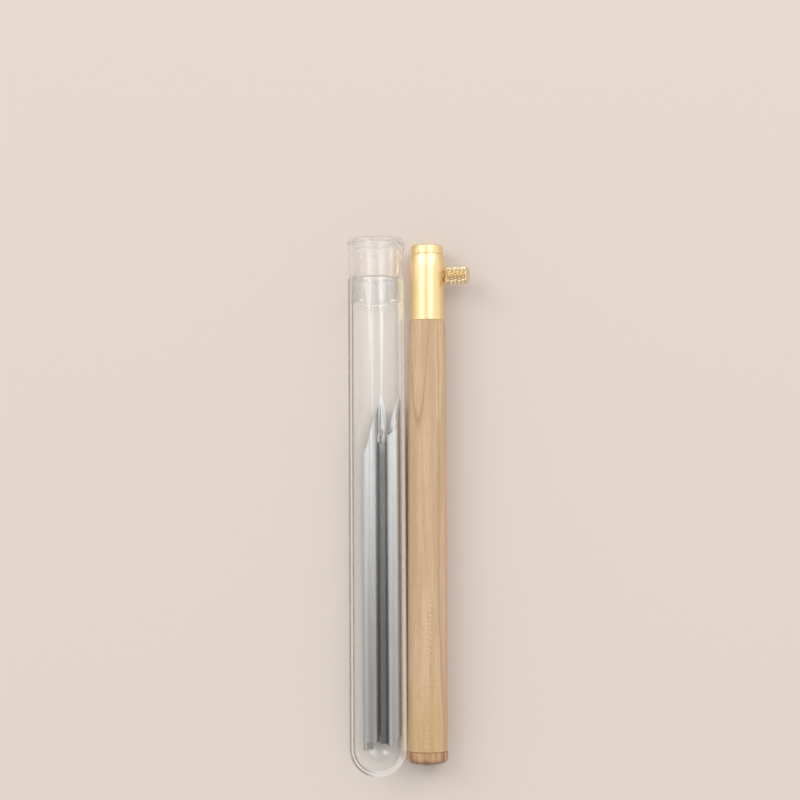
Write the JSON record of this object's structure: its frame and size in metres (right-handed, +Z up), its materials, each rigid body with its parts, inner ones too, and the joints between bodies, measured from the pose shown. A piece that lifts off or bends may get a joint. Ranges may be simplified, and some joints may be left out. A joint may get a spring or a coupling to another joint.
{
  "type": "punch needle",
  "caption": "Wooden embroidery punch needle handle with a brass chuck and knurled thumbscrew, beside a clear capped tube that holds its interchangeable hollow steel needles.",
  "frame": {"origin": "on the ground, under the middle of the box around the handle and the tube as they lie side by side", "axes": "+Y along the handle to the mouth of its chuck, +Z up from the ground, +X to the thumbscrew's side"},
  "size_m": [0.0352, 0.1528, 0.0163],
  "materials": {
    "handle_wood": "smooth waxed light hardwood",
    "butt_wood": "smooth waxed redder end piece",
    "polished_brass": "polished",
    "knurled_brass": "coarse diamond knurling",
    "clear_plastic": "clear, glossy",
    "cap_plastic": "translucent, soft gloss",
    "needle_steel": "drawn stainless tube, satin"
  },
  "bodies": {
    "kit": {"wooden_handle": "handle_wood", "butt_button": "butt_wood", "brass_collar": "polished_brass", "needle_tube": "clear_plastic", "needle_large": "needle_steel", "needle_medium": "needle_steel", "needle_small": "needle_steel"},
    "clamp_screw": {"thumbscrew": "knurled_brass"},
    "cap": {"tube_cap": "cap_plastic"}
  },
  "joints": [
    {"name": "screw_turn", "type": "hinge", "parent": "kit", "child": "clamp_screw", "pos_m": [0.00525, 0.06596, 0.00585], "axis": [0.9613, 0, 0.2756], "range_deg": [-216, 1620]},
    {"name": "cap_pull", "type": "slide", "parent": "kit", "child": "cap", "axis": [-0.0058, 1, 0], "range_m": [0, 0.025]}
  ]
}
